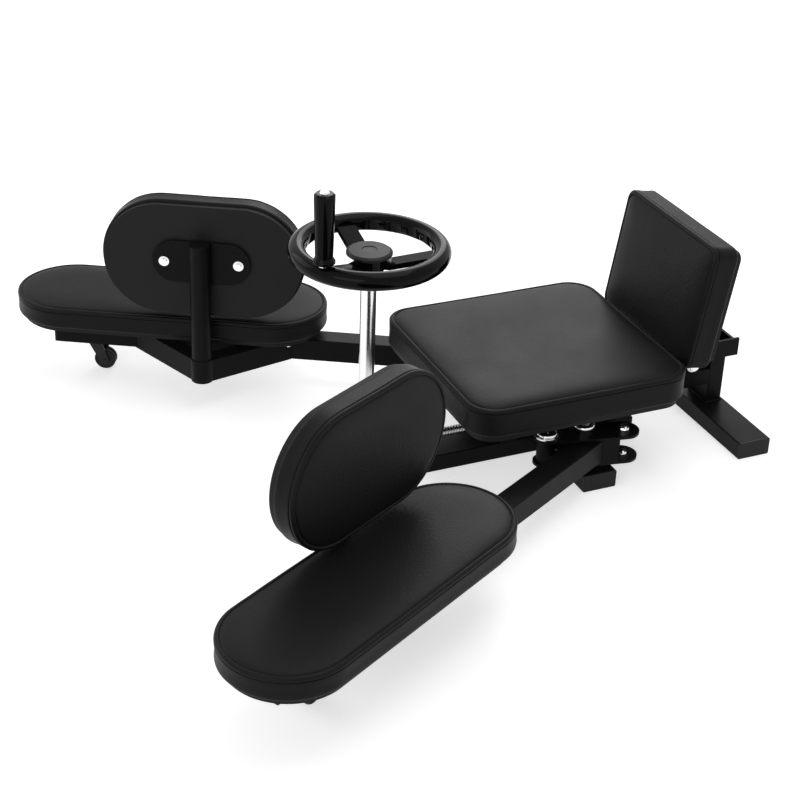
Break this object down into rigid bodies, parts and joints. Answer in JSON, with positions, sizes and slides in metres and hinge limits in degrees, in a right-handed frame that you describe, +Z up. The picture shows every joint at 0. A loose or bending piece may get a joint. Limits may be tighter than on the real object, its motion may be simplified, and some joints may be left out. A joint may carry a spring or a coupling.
{
  "type": "leg stretching machine",
  "caption": "Seated leg stretcher: a handwheel drives a screw that spreads two padded leg arms on casters, with a padded seat and a reclining backrest.",
  "frame": {"origin": "on the floor under the middle of the pivot foot, where the beam crosses it", "axes": "+Z up, the user faces -Y, +X is the user's left"},
  "size_m": [1.2836, 1.1096, 0.5348],
  "materials": {
    "frame_paint": "black powder coat, satin",
    "end_cap": "moulded black plastic",
    "chrome": "bright plated",
    "board": "plywood with a black wrap",
    "upholstery": "black leatherette",
    "machined_steel": "turned, lightly greased",
    "bronze": "machined bronze",
    "wheel_gloss": "polished black moulding",
    "caster_plastic": "black nylon",
    "caster_tread": "hard black rubber"
  },
  "bodies": {
    "base": {"main_beam": "frame_paint", "pivot_foot": "frame_paint", "rear_foot": "frame_paint", "base_end_caps": "end_cap", "rear_post": "frame_paint", "backrest_bracket": "frame_paint", "recline_bolt": "chrome", "seat_supports": "frame_paint", "seat_rail": "frame_paint", "seat_board": "board", "seat_cushion": "upholstery", "seat_bolts": "chrome", "gearbox_housing": "frame_paint", "gearbox_cover": "frame_paint", "gearbox_screws": "chrome", "drive_bushes": "bronze", "rear_bearing": "frame_paint", "pivot_bolts": "chrome"},
    "backrest": {"backrest_strut": "frame_paint", "backrest_board": "board", "backrest_cushion": "upholstery", "backrest_screws": "chrome"},
    "wheel_shaft": {"wheel_shaft": "chrome", "shaft_bevel_gear": "machined_steel", "handwheel": "wheel_gloss", "hub_cap": "wheel_gloss", "handle_spindle": "chrome"},
    "handle": {"handle_grip": "wheel_gloss"},
    "screw": {"lead_screw": "machined_steel", "screw_bevel_gear": "machined_steel"},
    "nut": {"nut_carriage": "frame_paint", "lead_nut": "bronze"},
    "arm_left": {"arm_tube_left": "frame_paint", "arm_fork_left": "frame_paint", "arm_bolts_left": "chrome", "pad_frame_left": "frame_paint", "side_post_left": "frame_paint", "side_board_left": "board", "side_cushion_left": "upholstery", "leg_board_left": "board", "leg_cushion_left": "upholstery", "pad_bolts_left": "chrome", "arm_caps_left": "end_cap"},
    "link_left": {"link_left": "frame_paint"},
    "caster_left": {"caster_fork_left": "caster_plastic"},
    "caster_wheel_left": {"caster_wheel_left": "caster_tread"},
    "arm_right": {"arm_tube_right": "frame_paint", "arm_fork_right": "frame_paint", "arm_bolts_right": "chrome", "pad_frame_right": "frame_paint", "side_post_right": "frame_paint", "side_board_right": "board", "side_cushion_right": "upholstery", "leg_board_right": "board", "leg_cushion_right": "upholstery", "pad_bolts_right": "chrome", "arm_caps_right": "end_cap"},
    "link_right": {"link_right": "frame_paint"},
    "caster_right": {"caster_fork_right": "caster_plastic"},
    "caster_wheel_right": {"caster_wheel_right": "caster_tread"}
  },
  "joints": [
    {"name": "handwheel_turn", "type": "hinge", "parent": "base", "child": "wheel_shaft", "pos_m": [0, -0.342, 0.403], "axis": [0, 0, 1], "range_deg": [-3259, 1358]},
    {"name": "screw_turn", "type": "hinge", "parent": "base", "child": "screw", "pos_m": [0, 0, 0.054], "axis": [0, 1, 0], "range_deg": [-1359, 3260]},
    {"name": "nut_slide", "type": "slide", "parent": "base", "child": "nut", "axis": [0, 1, 0], "range_m": [-0.0454, 0.019]},
    {"name": "handle_spin", "type": "hinge", "parent": "wheel_shaft", "child": "handle", "pos_m": [0.0555, -0.43813, 0.475], "axis": [0, 0, 1], "continuous": true},
    {"name": "backrest_recline", "type": "hinge", "parent": "base", "child": "backrest", "pos_m": [0, 0.248, 0.114], "axis": [-1, 0, 0], "range_deg": [0, 60]},
    {"name": "arm_swing_left", "type": "hinge", "parent": "base", "child": "arm_left", "pos_m": [0.134, -0.015, 0.074], "axis": [0, 0, 1], "range_deg": [-20.05, 48.05]},
    {"name": "link_turn_left", "type": "hinge", "parent": "arm_left", "child": "link_left", "pos_m": [0.13869, -0.08519, 0.074], "axis": [0, 0, 1], "range_deg": [-16.9, 7.1]},
    {"name": "caster_swivel_left", "type": "hinge", "parent": "arm_left", "child": "caster_left", "pos_m": [0.51697, -0.64635, 0.05], "axis": [0, 0, 1], "continuous": true},
    {"name": "caster_roll_left", "type": "hinge", "parent": "caster_left", "child": "caster_wheel_left", "pos_m": [0.50963, -0.63327, 0.019], "axis": [0.8721, 0.4894, 0], "continuous": true},
    {"name": "arm_swing_right", "type": "hinge", "parent": "base", "child": "arm_right", "pos_m": [-0.134, -0.015, 0.074], "axis": [0, 0, -1], "range_deg": [-20.05, 48.05]},
    {"name": "link_turn_right", "type": "hinge", "parent": "arm_right", "child": "link_right", "pos_m": [-0.13869, -0.08519, 0.074], "axis": [0, 0, -1], "range_deg": [-16.9, 7.1]},
    {"name": "caster_swivel_right", "type": "hinge", "parent": "arm_right", "child": "caster_right", "pos_m": [-0.51697, -0.64635, 0.05], "axis": [0, 0, 1], "continuous": true},
    {"name": "caster_roll_right", "type": "hinge", "parent": "caster_right", "child": "caster_wheel_right", "pos_m": [-0.50963, -0.63327, 0.019], "axis": [0.8721, -0.4894, 0], "continuous": true}
  ],
  "couplings": [
    {"joint": "screw_turn", "follows": "handwheel_turn", "ratio": -1},
    {"joint": "nut_slide", "follows": "handwheel_turn", "m_per_rad": 0.0007958},
    {"joint": "arm_swing_left", "follows": "handwheel_turn", "ratio": -0.014725},
    {"joint": "link_turn_left", "follows": "handwheel_turn", "ratio": 0.0051539},
    {"joint": "arm_swing_right", "follows": "handwheel_turn", "ratio": -0.014725},
    {"joint": "link_turn_right", "follows": "handwheel_turn", "ratio": 0.0051539}
  ]
}
